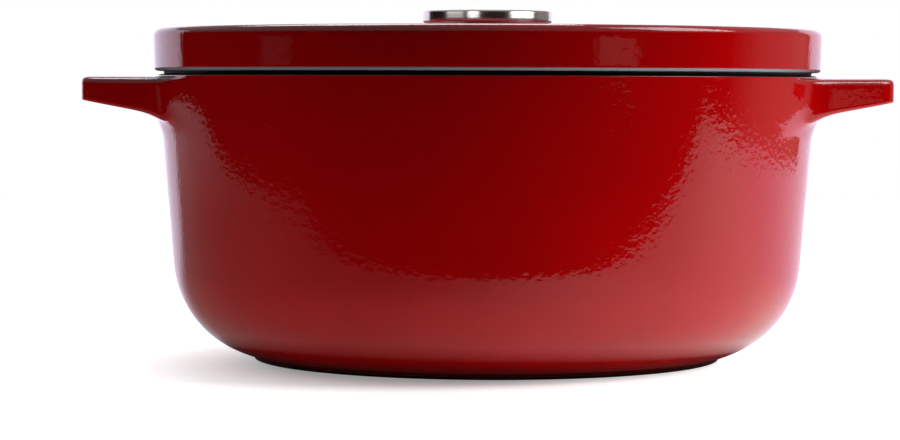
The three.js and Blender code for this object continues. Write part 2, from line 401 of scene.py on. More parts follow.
@dataclass(frozen=True)
class BrushedSteel:
    """Stainless steel, turned and brushed round its axis.

    Fine lines run round the piece, so highlights stretch across them, and the tone changes from line to line.
    Their sizes are in millimetres, and they drift sideways by line_drift in each radian.
    """

    name: str
    colour: str
    roughness: float = 0.24
    line_width: float = 0.16
    line_depth: float = 0.004
    line_drift: float = 0.8
    pale_colour: str = "f2efec"
    smoother: float = 0.05
    rougher: float = 0.08
    anisotropy: float = 0.6

    def build(self) -> Material:
        """Makes the material. The lines are drawn about twice as wide as the real ones, so that they show."""
        material, tree, output = new_material(self.name)
        place = add_node(tree, "ShaderNodeTexCoord").outputs["Object"]
        axes = add_node(tree, "ShaderNodeSeparateXYZ", inputs={0: place})
        flat = add_node(tree, "ShaderNodeCombineXYZ", inputs={0: axes.outputs["X"], 1: axes.outputs["Y"]})
        radius = add_node(tree, "ShaderNodeVectorMath", {"operation": "LENGTH"}, {0: flat.outputs[0]})
        turn_angle = add_node(
            tree, "ShaderNodeMath", {"operation": "ARCTAN2"}, {0: axes.outputs["Y"], 1: axes.outputs["X"]}
        )
        drift = add_node(
            tree,
            "ShaderNodeMath",
            {"operation": "MULTIPLY"},
            {0: turn_angle.outputs[0], 1: self.line_drift * MM},
        )
        across = add_node(
            tree,
            "ShaderNodeCombineXYZ",
            inputs={0: radius.outputs["Value"], 1: axes.outputs["Z"], 2: drift.outputs[0]},
        )
        lines, ridges = roughen(
            tree, across.outputs[0], self.line_width, self.line_depth, roughness=0.6, strength=0.6
        )
        tone = add_node(
            tree,
            "ShaderNodeMix",
            {"data_type": "RGBA"},
            {0: lines, COLOUR_A: linear(self.colour), COLOUR_B: linear(self.pale_colour)},
        )
        gloss = add_node(
            tree,
            "ShaderNodeMapRange",
            inputs={
                "Value": lines,
                "To Min": self.roughness - self.smoother,
                "To Max": self.roughness + self.rougher,
            },
        )
        tangent = add_node(tree, "ShaderNodeTangent", {"direction_type": "RADIAL", "axis": "Z"})
        shader = add_node(
            tree,
            "ShaderNodeBsdfPrincipled",
            inputs={
                "Base Color": tone.outputs[COLOUR_OUT],
                "Metallic": 1.0,
                "Roughness": gloss.outputs[0],
                "Anisotropic": self.anisotropy,
                "Tangent": tangent.outputs[0],
                "Normal": ridges,
            },
        )
        tree.links.new(shader.outputs["BSDF"], output.inputs["Surface"])
        return material


@dataclass(frozen=True)
class MattSurface:
    """A matt finish: black iron at the edges and seats, and moulded silicone.

    Its fine grain breaks up what little it mirrors.
    """

    name: str
    colour: str
    pale_colour: str
    roughness: float = 0.42
    specular: float = 0.5
    grain_size: float = 0.6
    grain_depth: float = 0.012

    def build(self) -> Material:
        """Makes the material, with its grain in millimetres."""
        material, tree, output = new_material(self.name)
        place = add_node(tree, "ShaderNodeTexCoord").outputs["Object"]
        grain, normal = roughen(tree, place, self.grain_size, self.grain_depth)
        tone = add_node(
            tree,
            "ShaderNodeMix",
            {"data_type": "RGBA"},
            {0: grain, COLOUR_A: linear(self.colour), COLOUR_B: linear(self.pale_colour)},
        )
        shader = add_node(
            tree,
            "ShaderNodeBsdfPrincipled",
            inputs={
                "Base Color": tone.outputs[COLOUR_OUT],
                "Roughness": self.roughness,
                "Specular IOR Level": self.specular,
                "Normal": normal,
            },
        )
        tree.links.new(shader.outputs["BSDF"], output.inputs["Surface"])
        return material


@dataclass(frozen=True)
class GroundIron:
    """Bare cast iron, ground and seasoned: a dull blue-grey metal that shows soft, smeared reflections."""

    name: str
    colour: str
    metal: float = 0.5
    roughness: float = 0.42
    grain_size: float = 0.5
    grain_depth: float = 0.01

    def build(self) -> Material:
        """Makes the material, with its grain in millimetres."""
        material, tree, output = new_material(self.name)
        place = add_node(tree, "ShaderNodeTexCoord").outputs["Object"]
        _, normal = roughen(tree, place, self.grain_size, self.grain_depth)
        shader = add_node(
            tree,
            "ShaderNodeBsdfPrincipled",
            inputs={
                "Base Color": linear(self.colour),
                "Metallic": self.metal,
                "Roughness": self.roughness,
                "Normal": normal,
            },
        )
        tree.links.new(shader.outputs["BSDF"], output.inputs["Surface"])
        return material


@dataclass
class PotCasting:
    """The pot: a drafted wall, a wide corner, a base pad, a rim and two squared loop handles, as one casting.

    A coarse cage is turned, the handles are drawn out of its wall, and subdivision gives the cast surface.
    All sizes are in millimetres. Corners of the cage at the pad, the rim and the mouth are steps outwards and
    upwards from there.
    """

    rim_radius: float = 134.0
    height: float = 115.5
    draft: float = 4.8
    wall: float = 4.2
    floor: float = 5.0
    corner_radius: float = 40.0
    pad_radius: float = 94.0
    pad_height: float = 1.2
    base_ring: float = 60.0
    pad_edge: tuple[Pair, ...] = ((0.1, 0.0), (1.0, 0.02), (0.9, 1.3), (1.7, 1.8))
    outer_angles: tuple[float, ...] = (76, 64, 52, 40, 28, 16, 6)
    outer_heights: tuple[float, ...] = (54, 70, 81, 87.5)
    rim_edge: tuple[Pair, ...] = ((-0.02, -0.65), (-0.9, 0.0))
    mouth_edge: tuple[Pair, ...] = ((0.8, 0.0), (-0.05, -0.5))
    inner_heights: tuple[float, ...] = (112, 80, 50)
    inner_angles: tuple[float, ...] = (6, 20, 34, 48, 62, 76)
    floor_ring: float = 74.0
    black_edge: float = 0.6
    black_pad: float = 0.9
    columns: int = 36
    subdivisions: int = 3
    band_low: float = 91.8
    band_middle: float = 110.9
    band_high: float = 114.55
    band_depth: float = 3.0
    handle_columns: int = 3
    handle_top: float = 114.5
    handle_tip: float = 162.0
    root_thickness: float = 15.9
    tip_thickness: float = 9.3
    under_flare: float = 3.6
    under_flare_reach: float = 6.0
    top_round: float = 3.4
    slot_half_width: float = 24.6
    stations: tuple[float, ...] = (2.4, 9.5, 17.3, 24.2, 28.0)
    flank: tuple[Pair, ...] = (
        (1.3, 52.5),
        (4.4, 47.6),
        (12.2, 43.6),
        (21.7, 39.8),
        (28.0, 37.4),
    )
    flank_flare: float = 15.0
    flank_flare_reach: float = 5.5
    slot_stations: tuple[int, int] = (0, 2)
    top_crease: float = 0.10
    under_crease: float = 0.55
    slot_crease: float = 0.40
    step_crease: float = 0.7

    def wall_radius(self, z: float) -> float:
        """Gives the outside radius of the wall at a height."""
        return self.rim_radius - (self.height - z) * math.tan(math.radians(self.draft))

    def arc(self, base: float, radius: float, angles: tuple[float, ...]) -> list[Corner]:
        """Gives points of one of the two corner arcs, which are tangent to the wall.

        Args:
            base: The height of the arc's lowest point.
            radius: The arc's radius.
            angles: Angles below the horizontal, in degrees.

        Returns:
            The points, moved out to allow for the shrinking of a subdivided cage.
        """
        centre_z = base + radius
        centre_r = self.wall_radius(centre_z) - self.corner_radius / math.cos(math.radians(self.draft))
        step = abs(angles[1] - angles[0])
        grown = radius * 3 / (2 + math.cos(math.radians(step)))
        return [
            Corner(
                centre_r + grown * math.cos(math.radians(angle)),
                centre_z - grown * math.sin(math.radians(angle)),
            )
            for angle in angles
        ]

    def outline(self) -> list[Corner]:
        """Gives the cage's outline, from the middle of the base over the rim to the middle of the floor."""
        inner = self.wall / math.cos(math.radians(self.draft))
        mouth = self.rim_radius - inner
        heights = (*self.outer_heights, self.band_low, self.band_middle, self.band_high)
        return [
            Corner(0, 0),
            Corner(self.base_ring, 0),
            *(Corner(self.pad_radius + out, up) for out, up in self.pad_edge),
            *self.arc(self.pad_height, self.corner_radius, self.outer_angles),
            *(Corner(self.wall_radius(z), z) for z in heights),
            *(Corner(self.rim_radius + out, self.height + up) for out, up in self.rim_edge),
            *(Corner(mouth + out, self.height + up) for out, up in self.mouth_edge),
            *(Corner(self.wall_radius(z) - inner, z) for z in self.inner_heights),
            *self.arc(self.floor, self.corner_radius - self.wall, self.inner_angles),
            Corner(self.floor_ring, self.floor),
            Corner(0, self.floor),
        ]

    def cage(self) -> BMesh:
        """Turns the outline into the cage and marks the finish of each face."""
        grow = 3 / (2 + math.cos(math.tau / self.columns))
        corners = [Corner(c.r * grow, c.z) for c in self.outline()]
        bm = turn(corners, self.columns, arc_steps=1, longest=math.inf, closed=False)
        for face in bm.faces:
            middle = face.calc_center_median() / MM
            faces_axis = face.normal.xy.dot(middle.xy.normalized()) < -0.1
            faces_up = face.normal.z > 0.5
            if middle.z > self.height - self.black_edge:
                face.material_index = Face.EDGE.value
            elif faces_axis or faces_up:
                face.material_index = Face.INSIDE.value
            elif middle.z < self.black_pad:
                face.material_index = Face.SEAT.value
        return bm

    def handle_point(self, station: int, column: int, row: Row) -> Vector:
        """Places one point of a handle's cage.

        Args:
            station: The station, counted out from the wall.
            column: The column across the handle, from minus to plus handle_columns.
            row: The row of the section, where the side's row is just below the top.

        Returns:
            The point in millimetres, for the handle on the +X side.
        """
        out, side = self.flank[station]
        flare = (self.flank_flare, self.flank_flare_reach)
        if abs(column) < self.handle_columns:
            out = self.stations[station]
            flare = (self.under_flare, self.under_flare_reach)
        share = out / (self.handle_tip - self.wall_radius(self.handle_top))
        across = (0.0, self.slot_half_width / 2, self.slot_half_width, side)[abs(column)]
        y = math.copysign(across, column)
        thickness = self.root_thickness + (self.tip_thickness - self.root_thickness) * share
        under = self.handle_top - thickness - self.flare(out, *flare)
        z = (under, self.handle_top - self.top_round, self.handle_top)[row]
        wall_x = math.sqrt(self.wall_radius(z) ** 2 - y**2)
        return Vector((wall_x + (self.handle_tip - wall_x) * share, y, z))

    def flare(self, out: float, amount: float, reach: float) -> float:
        """Gives how far a concave root fillet stands off at a distance out from the wall."""
        cosine = min(max(1 - out / reach, 0), 1)
        return amount * (1 - math.sqrt(1 - cosine**2))

    def pull_handle(self, bm: BMesh, side: int) -> list[Ring]:
        """Draws one handle out of the wall, station by station.

        Args:
            bm: The cage.
            side: 1 for the handle on +X, and -1 for the one on -X.

        Returns:
            The points round each station.
        """
        half_angle = self.handle_columns * math.tau / self.columns
        faces = []
        for face in bm.faces:
            middle = face.calc_center_median() / MM
            outside = middle.xy.length > self.rim_radius - self.band_depth
            in_band = outside and self.band_low < middle.z < self.band_high
            if in_band and abs(math.atan2(side * middle.y, side * middle.x)) < half_angle:
                faces.append(face)
        rings = []
        for station in range(len(self.stations)):
            made = bmesh.ops.extrude_face_region(bm, geom=faces)["geom"]
            bmesh.ops.delete(bm, geom=faces, context="FACES")
            faces = [g for g in made if isinstance(g, BMFace)]
            verts = [g for g in made if isinstance(g, BMVert)]
            verts.sort(key=lambda vert: side * vert.co.y)
            ring: Ring = {}
            for index in range(0, len(verts), len(Row)):
                column = index // len(Row) - self.handle_columns
                section = sorted(verts[index : index + len(Row)], key=lambda vert: vert.co.z)
                for row, vert in zip(Row, section):
                    point = self.handle_point(station, column, row)
                    vert.co = Vector((side * point.x, side * point.y, point.z)) * MM
                    if row != Row.SIDE or abs(column) == self.handle_columns:
                        ring[column, row] = vert
            rings.append(ring)
        return rings

    def cut_slot(self, bm: BMesh, rings: list[Ring]) -> None:
        """Opens the finger slot through a handle and joins its two edges.

        Args:
            bm: The cage.
            rings: The handle's stations from pull_handle.
        """
        first, last = self.slot_stations
        for row in (Row.UNDER, Row.TOP):
            inside = {
                ring[column, row]
                for ring in rings[first : last + 1]
                for column in range(-self.handle_columns + 1, self.handle_columns)
            }
            holes = [face for face in bm.faces if all(vert in inside for vert in face.verts)]
            bmesh.ops.delete(bm, geom=holes, context="FACES")
        edges = [edge for edge in bm.edges if edge.is_boundary]
        bmesh.ops.bridge_loops(bm, edges=edges)
        crease = bm.edges.layers.float["crease_edge"]
        for edge in edges:
            edge[crease] = self.slot_crease

    def crease_handle(self, bm: BMesh, rings: list[Ring]) -> None:
        """Tightens a handle's long edges, the edges round its tip and the step between its top and the rim.

        Args:
            bm: The cage.
            rings: The handle's stations from pull_handle.
        """
        crease = bm.edges.layers.float["crease_edge"]
        ends = (-self.handle_columns, self.handle_columns)
        root = {edge.other_vert(vert) for vert in rings[0].values() for edge in vert.link_edges}
        step = [vert for vert in root if abs(vert.co.z / MM - self.band_high) < NEAR]
        for edge in bm.edges:
            if edge.verts[0] in step and edge.verts[1] in step:
                edge[crease] = self.step_crease
        for row, amount in ((Row.TOP, self.top_crease), (Row.UNDER, self.under_crease)):
            rim = {ring[column, row] for ring in rings for column in ends}
            rim |= {rings[-1][column, row] for column in range(ends[0], ends[1] + 1)}
            for edge in bm.edges:
                if edge.verts[0] in rim and edge.verts[1] in rim:
                    edge[crease] = amount

    def build(self, finishes: list[Material]) -> Object:
        """Makes the pot.

        Args:
            finishes: The materials in the order of Face.

        Returns:
            The finished piece.
        """
        bm = self.cage()
        bm.edges.layers.float.new("crease_edge")
        for side in (1, -1):
            rings = self.pull_handle(bm, side)
            self.crease_handle(bm, rings)
            self.cut_slot(bm, rings)
        bmesh.ops.recalc_face_normals(bm, faces=bm.faces[:])
        nodes = ("pot_body", "handle_right", "handle_left")
        piece = new_piece("pot_casting", bm, Ride.POT, nodes, finishes)
        skin = piece.modifiers.new("cast_surface", "SUBSURF")
        skin.levels = self.subdivisions
        skin.render_levels = self.subdivisions
        return piece


@dataclass
class LidCasting:
    """The lid: a raised wall, a sunken top, a lip, a seating land and a locating ring, in millimetres."""

    radius: float = 135.86
    lip_radius: float = 135.28
    lip_z: float = 116.7
    top_z: float = 133.7
    wall_inner: float = 129.5
    dish_edge: float = 127.81
    dish_floor: float = 121.7
    under_z: float = 117.3
    seat_z: float = 115.5
    land_outer: float = 131.58
    ring_outer: float = 128.18
    ring_inner: float = 123.18
    ring_root: float = 121.81
    ring_bottom: float = 109.5
    boss_radius: float = 15.0
    boss_top: float = 122.9
    boss_foot: float = 16.2
    hole_radius: float = 3.5
    lip_line: float = 1.3
    gloss_depth: float = 1.6
    top_margin: float = 0.1
    land_margin: float = 0.2
    ring_margin: float = 0.6
    segments: int = 224

    def outline(self) -> list[Corner]:
        """Gives the closed outline, from the screw hole's lower edge outwards and back over the top."""
        return [
            Corner(self.hole_radius, self.under_z),
            Corner(self.ring_root, self.under_z, 3.0),
            Corner(self.ring_inner, self.ring_bottom, 1.5),
            Corner(self.ring_outer, self.ring_bottom, 1.5),
            Corner(self.ring_outer, self.seat_z, 0.3),
            Corner(self.land_outer, self.seat_z, 0.4),
            Corner(self.land_outer, self.lip_z, 0.3),
            Corner(self.lip_radius, self.lip_z, 1.5),
            Corner(self.radius, self.top_z, 3.0),
            Corner(self.wall_inner, self.top_z, 2.2),
            Corner(self.dish_edge, self.dish_floor, 8.0),
            Corner(self.boss_foot, self.dish_floor, 0.8),
            Corner(self.boss_radius, self.boss_top, 0.4),
            Corner(self.hole_radius, self.boss_top),
        ]

    def finish_at(self, radius: float, z: float) -> Face:
        """Gives the finish of the casting at a radius and a height."""
        on_wall = radius > self.lip_radius - self.gloss_depth and z > self.lip_z + self.lip_line
        if on_wall or z > self.dish_floor - self.top_margin:
            return Face.GLOSS
        if radius > self.land_outer + self.land_margin:
            return Face.EDGE
        if radius > self.ring_outer - self.ring_margin:
            return Face.SEAT
        return Face.INSIDE

    def build(self, finishes: list[Material]) -> Object:
        """Makes the lid.

        Args:
            finishes: The materials in the order of Face.

        Returns:
            The finished piece.
        """
        bm = turn(self.outline(), self.segments, arc_steps=8, longest=2.2, closed=True)
        for face in bm.faces:
            middle = face.calc_center_median() / MM
            face.material_index = self.finish_at(middle.xy.length, middle.z).value
        return new_piece("lid_casting", bm, Ride.LID, ("lid_body",), finishes)


@dataclass
class Knob:
    """The knob with its post, its washers and the screw that holds it from under the lid, in millimetres."""

    disc_radius: float = 26.3
    disc_under: float = 136.7
    disc_top: float = 141.5
    socket_radius: float = 12.8
    socket_under: float = 136.5
    post_top: float = 138.2
    post_foot: float = 123.9
    head_radius: float = 12.5
    head_under: float = 136.2
    waist_radius: float = 8.0
    waist_length: float = 3.2
    foot_radius: float = 11.0
    foot_height: float = 1.2
    bore_radius: float = 3.3
    bore_top: float = 133.9
    soft_washer_radius: float = 10.0
    soft_washer_under: float = 122.9
    flat_washer_radius: float = 8.0
    flat_washer_top: float = 117.3
    flat_washer_under: float = 116.1
    spring_radius: float = 5.0
    spring_gap: float = 1.2
    screw_top: float = 132.9
    screw_radius: float = 3.0
    screw_head_radius: float = 5.5
    screw_head_top: float = 114.7
    screw_head_under: float = 111.3
    drive_width: float = 4.0
    drive_depth: float = 2.0
    disc_segments: int = 160
    post_segments: int = 96
    small_segments: int = 72

    def disc(self, steel: Material) -> Object:
        """Makes the disc, with a nearly square upper edge and a rounder lower one."""
        corners = [
            Corner(0, self.post_top),
            Corner(self.socket_radius, self.post_top),
            Corner(self.socket_radius, self.socket_under, 0.2),
            Corner(self.disc_radius, self.disc_under, 0.8),
            Corner(self.disc_radius, self.disc_top, 0.6),
            Corner(0, self.disc_top),
        ]
        bm = turn(corners, self.disc_segments, arc_steps=6, longest=1.2, closed=False)
        return new_piece("knob_disc", bm, Ride.LID, ("knob_cap",), [steel])

    def post(self, steel: Material) -> Object:
        """Makes the waisted post."""
        foot_top = self.post_foot + self.foot_height
        waist_z = (foot_top + self.head_under) / 2
        corners = [
            Corner(0, self.bore_top),
            Corner(self.bore_radius, self.bore_top),
            Corner(self.bore_radius, self.post_foot, 0.3),
            Corner(self.foot_radius, self.post_foot, 0.3),
            Corner(self.foot_radius, foot_top, 0.4),
            Corner(self.waist_radius, waist_z - self.waist_length / 2, 4.0),
            Corner(self.waist_radius, waist_z + self.waist_length / 2, 4.0),
            Corner(self.head_radius, self.head_under, 0.3),
            Corner(self.head_radius, self.post_top, 0.2),
            Corner(0, self.post_top),
        ]
        bm = turn(corners, self.post_segments, arc_steps=6, longest=0.8, closed=False)
        return new_piece("knob_post", bm, Ride.LID, ("knob_stem",), [steel])

    def washer(self, outer: float, low: float, high: float) -> BMesh:
        """Turns a flat washer with eased edges.

        Args:
            outer: Its outer radius.
            low: The height of its underside.
            high: The height of its top.

        Returns:
            Its mesh.
        """
        corners = [
            Corner(self.bore_radius, low, 0.15),
            Corner(outer, low, 0.2),
            Corner(outer, high, 0.2),
            Corner(self.bore_radius, high, 0.15),
        ]
        return turn(corners, self.small_segments, arc_steps=4, longest=0.8, closed=True)

    def soft_washer(self, silicone: Material) -> Object:
        """Makes the soft washer between the lid's boss and the post."""
        bm = self.washer(self.soft_washer_radius, self.soft_washer_under, self.post_foot)
        return new_piece("knob_soft_washer", bm, Ride.LID, ("knob_seat_washer",), [silicone])

    def flat_washer(self, steel: Material) -> Object:
        """Makes the flat washer on the underside of the lid."""
        bm = self.washer(self.flat_washer_radius, self.flat_washer_under, self.flat_washer_top)
        return new_piece("screw_flat_washer", bm, Ride.LID, ("screw_washer",), [steel])

    def spring_washer(self, steel: Material) -> Object:
        """Makes the washer that is cut through on one side."""
        bm = self.washer(self.spring_radius, self.screw_head_top, self.flat_washer_under)
        for side in (1, -1):
            bmesh.ops.bisect_plane(
                bm,
                geom=bm.verts[:] + bm.edges[:] + bm.faces[:],
                plane_co=(0, side * self.spring_gap / 2 * MM, 0),
                plane_no=(0, 1, 0),
            )
        gap = []
        for face in bm.faces:
            middle = face.calc_center_median() / MM
            if middle.x > 0 and abs(middle.y) < self.spring_gap / 2:
                gap.append(face)
        bmesh.ops.delete(bm, geom=gap, context="FACES")
        bmesh.ops.holes_fill(bm, edges=[edge for edge in bm.edges if edge.is_boundary], sides=0)
        bmesh.ops.recalc_face_normals(bm, faces=bm.faces[:])
        return new_piece("spring_washer", bm, Ride.LID, ("lock_washer",), [steel])

    def screw(self, steel: Material) -> Object:
        """Makes the screw: a low round head with a hexagon socket, on a plain shank."""
        corners = [
            Corner(0, self.screw_head_under),
            Corner(self.screw_head_radius, self.screw_head_under, 1.2),
            Corner(self.screw_head_radius, self.screw_head_top, 0.2),
            Corner(self.screw_radius, self.screw_head_top),
            Corner(self.screw_radius, self.screw_top, 0.6),
            Corner(0, self.screw_top),
        ]
        bm = turn(corners, self.small_segments, arc_steps=5, longest=0.8, closed=False)
        level = (self.screw_head_under + NEAR) * MM
        low = [face for face in bm.faces if face.calc_center_median().z < level]
        bmesh.ops.delete(bm, geom=low, context="FACES")
        rim = [edge for edge in bm.edges if edge.is_boundary]
        drive = bmesh.ops.create_circle(
            bm,
            segments=6,
            radius=self.drive_width / math.sqrt(3) * MM,
            matrix=Matrix.Translation((0, 0, self.screw_head_under * MM)),
        )["verts"]
        mouth = list({edge for vert in drive for edge in vert.link_edges})
        bmesh.ops.bridge_loops(bm, edges=rim + mouth)
        walls = bmesh.ops.extrude_edge_only(bm, edges=mouth)["geom"]
        deep = [g for g in walls if isinstance(g, BMVert)]
        bmesh.ops.translate(bm, verts=deep, vec=(0, 0, self.drive_depth * MM))
        bmesh.ops.contextual_create(bm, geom=[g for g in walls if isinstance(g, BMEdge)])
        bmesh.ops.recalc_face_normals(bm, faces=bm.faces[:])
        return new_piece("knob_fixing_screw", bm, Ride.LID, ("knob_screw",), [steel])


@dataclass
class Table:
    """The white laminate table top, in metres, with its edges just outside the view.

    The camera sees it glow as white as the backdrop, but for a painted shadow beside the pot. The enamel
    mirrors a painted glow, not lamp light: painted light, bright at the right; painted shade, dim at the left
    and dark under the pot; and a pale painted reflection of the backdrop far behind. From below it is clear,
    so that the base can be seen.
    """

    backdrop_colour: str
    colour: str = "fafafa"
    z: float = -0.0001
    edge: tuple[Pair, ...] = (
        (-0.05, -0.284),
        (0.11, -0.284),
        (0.24, -0.274),
        (0.42, -0.260),
        (0.83, -0.250),
        (0.80, 1.60),
        (-1.60, 1.60),
        (-1.145, 0.565),
        (-0.905, 0.245),
        (-0.696, 0.049),
        (-0.555, -0.127),
        (-0.414, -0.244),
        (-0.170, -0.279),
    )
    # Painted shadow: the glow that the camera sees drops to shadow_glow in an ellipse a little to the front
    # left of the pot.
    shadow_stretch: Triple = (1.15, 1.0, 1.0)
    shadow_shift: Triple = (0.023, 0.030, 0.0)
    shadow_reach: Pair = (0.070, 0.140)
    shadow_glow: float = 0.30
    # Painted shade under the pot in what the gloss mirrors: the mirrored glow falls almost to nothing near
    # the foot.
    painted_shade_centre: Triple = (-0.002, -0.003, 0.0)
    painted_shade_reach: Pair = (0.103, 0.115)
    painted_shade_glow: float = 0.02
    # Painted shade in what the gloss mirrors: the mirrored glow is dimmer towards the front.
    front_reach: Pair = (-0.25, -0.12)
    painted_front_shade: Pair = (0.72, 1.12)
    # Painted bounce light: the table glows onto the pot from round its foot, more strongly at the right.
    painted_bounce_reach: Pair = (0.10, 0.15)
    painted_bounce_glow: Pair = (0.85, 2.125)
    right_reach: float = 0.25
    # Painted light and shade in what the gloss mirrors: bright at the right and dim at the left.
    painted_falloff_span: Pair = (-1.0, 0.3)
    painted_falloff: tuple[tuple[float, str], ...] = (
        (-0.9, "8f8a8e"),
        (-0.5, "6c6967"),
        (-0.15, "787572"),
        (-0.06, "8e8b88"),
        (0.0, "bcb8b4"),
        (0.06, "ede9e5"),
        (0.14, "ffffff"),
    )
    # Painted reflection of the backdrop: far behind, the colour that the gloss mirrors turns to the
    # backdrop's colour.
    behind_from: float = -0.12
    behind_slope: float = 1.2
    behind_reach: Pair = (-0.164, -0.044)

    def glow(self, tree: NodeTree, place: NodeSocket, path: Node) -> NodeSocket:
        """Adds the table's glow for each kind of ray.

        The camera sees it drop in a painted shadow beside the pot. The gloss mirrors it with painted shade,
        dark under the pot and dimmer towards the front. The glow also lights the pot as painted bounce light
        from round its foot, most of it from the right.

        Args:
            tree: The material's tree.
            place: Object coordinates.
            path: The light path.

        Returns:
            The strength of the glow.
        """
        axes = add_node(tree, "ShaderNodeSeparateXYZ", inputs={0: place}).outputs
        # Painted shadow that the camera sees beside the pot.
        shifted = add_node(
            tree,
            "ShaderNodeVectorMath",
            {"operation": "MULTIPLY_ADD"},
            {0: place, 1: self.shadow_stretch, 2: self.shadow_shift},
        ).outputs[0]
        from_shadow = add_node(
            tree, "ShaderNodeVectorMath", {"operation": "LENGTH"}, {0: shifted}
        ).outputs["Value"]
        near, far = self.shadow_reach
        shown = add_node(
            tree,
            "ShaderNodeMapRange",
            inputs={"Value": from_shadow, "From Min": near, "From Max": far, "To Min": self.shadow_glow},
        ).outputs[0]
        # Painted shade under the pot, in the glow that the gloss mirrors.
        from_painted_shade = add_node(
            tree, "ShaderNodeVectorMath", {"operation": "DISTANCE"}, {0: place, 1: self.painted_shade_centre}
        ).outputs["Value"]
        near, far = self.painted_shade_reach
        shade = add_node(
            tree,
            "ShaderNodeMapRange",
            inputs={"Value": from_painted_shade, "From Min": near, "From Max": far, "To Min": self.painted_shade_glow},
        ).outputs[0]
        # Painted shade towards the front, in the glow that the gloss mirrors.
        near, far = self.front_reach
        dim, bright = self.painted_front_shade
        front = add_node(
            tree,
            "ShaderNodeMapRange",
            inputs={"Value": axes["Y"], "From Min": near, "From Max": far, "To Min": dim, "To Max": bright},
        ).outputs[0]
        mirrored = add_node(
            tree, "ShaderNodeMath", {"operation": "MULTIPLY"}, {0: shade, 1: front}
        ).outputs[0]
        # Painted bounce light: glow that lights the pot from round its foot, more at the right.
        dim, bright = self.painted_bounce_glow
        right = add_node(
            tree,
            "ShaderNodeMapRange",
            inputs={"Value": axes["X"], "From Max": self.right_reach, "To Min": dim, "To Max": bright},
        ).outputs[0]
        from_middle = add_node(
            tree, "ShaderNodeVectorMath", {"operation": "LENGTH"}, {0: place}
        ).outputs["Value"]
        near, far = self.painted_bounce_reach
        painted_bounce = add_node(
            tree,
            "ShaderNodeMapRange",
            inputs={"Value": from_middle, "From Min": near, "From Max": far, "To Max": right},
        ).outputs[0]
        unseen = add_node(
            tree,
            "ShaderNodeMix",
            inputs={0: path.outputs["Is Glossy Ray"], VALUE_A: painted_bounce, VALUE_B: mirrored},
        ).outputs[VALUE_OUT]
        seen = add_node(
            tree, "ShaderNodeMix", inputs={0: path.outputs["Is Camera Ray"], VALUE_A: unseen, VALUE_B: shown}
        )
        return seen.outputs[VALUE_OUT]

    def painted_reflection_colour(self, tree: NodeTree, place: NodeSocket) -> NodeSocket:
        """Adds the colour of the painted reflection: painted light and shade along X, and the backdrop's
        colour far behind.

        Args:
            tree: The material's tree.
            place: Object coordinates.

        Returns:
            The colour.
        """
        axes = add_node(tree, "ShaderNodeSeparateXYZ", inputs={0: place}).outputs
        # Painted light and shade along X, in the colour that the gloss mirrors.
        low, high = self.painted_falloff_span
        along = add_node(
            tree, "ShaderNodeMapRange", inputs={"Value": axes["X"], "From Min": low, "From Max": high}
        ).outputs[0]
        painted_falloff = set_ramp(
            add_node(tree, "ShaderNodeValToRGB", inputs={0: along}),
            [((x - low) / (high - low), linear(colour)) for x, colour in self.painted_falloff],
        )
        # Painted reflection of the backdrop far behind.
        left = add_node(
            tree, "ShaderNodeMath", {"operation": "MINIMUM"}, {0: axes["X"], 1: self.behind_from}
        ).outputs[0]
        depth = add_node(
            tree,
            "ShaderNodeMath",
            {"operation": "MULTIPLY_ADD"},
            {0: left, 1: self.behind_slope, 2: axes["Y"]},
        ).outputs[0]
        near, far = self.behind_reach
        behind = add_node(
            tree, "ShaderNodeMapRange", inputs={"Value": depth, "From Min": near, "From Max": far}
        ).outputs[0]
        mixed = add_node(
            tree,
            "ShaderNodeMix",
            {"data_type": "RGBA"},
            {0: behind, COLOUR_A: painted_falloff.outputs[0], COLOUR_B: linear(self.backdrop_colour)},
        )
        return mixed.outputs[COLOUR_OUT]

    def laminate(self) -> Material:
        """Makes the material, whose glow is a painted shadow for the camera, a painted reflection for the
        gloss and painted bounce light for the pot.
        """
        material, tree, output = new_material("white laminate table")
        place = add_node(tree, "ShaderNodeTexCoord").outputs["Object"]
        path = add_node(tree, "ShaderNodeLightPath")
        glossy = path.outputs["Is Glossy Ray"]
        base = add_node(
            tree,
            "ShaderNodeMix",
            {"data_type": "RGBA"},
            {0: glossy, COLOUR_A: linear(self.colour), COLOUR_B: linear("000000")},
        )
        tone = add_node(
            tree,
            "ShaderNodeMix",
            {"data_type": "RGBA"},
            {0: glossy, COLOUR_A: linear(self.colour), COLOUR_B: self.painted_reflection_colour(tree, place)},
        )
        shader = add_node(
            tree,
            "ShaderNodeBsdfPrincipled",
            inputs={
                "Base Color": base.outputs[COLOUR_OUT],
                "Roughness": 0.6,
                "Specular IOR Level": 0.1,
                "Emission Color": tone.outputs[COLOUR_OUT],
                "Emission Strength": self.glow(tree, place, path),
            },
        )
        below = add_node(tree, "ShaderNodeNewGeometry").outputs["Backfacing"]
        clear = add_node(tree, "ShaderNodeBsdfTransparent")
        top_only = add_node(
            tree, "ShaderNodeMixShader", inputs={0: below, 1: shader.outputs["BSDF"], 2: clear.outputs[0]}
        )
        tree.links.new(top_only.outputs[0], output.inputs["Surface"])
        return material

    def build(self) -> None:
        """Makes the table as part of the stage."""
        bm = bmesh.new()
        bm.faces.new([bm.verts.new((x, y, self.z)) for x, y in self.edge])
        bmesh.ops.recalc_face_normals(bm, faces=bm.faces[:])
        mesh = bpy.data.meshes.new("table")
        bm.to_mesh(mesh)
        bm.free()
        if mesh.polygons[0].normal.z < 0:
            mesh.flip_normals()
        mesh.materials.append(self.laminate())
        table = bpy.data.objects.new("table", mesh)
        bpy.context.scene.collection.objects.link(table)
        table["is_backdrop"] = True


@dataclass
class Studio:
    """The camera, the lamps and the surroundings, in metres, with the table."""

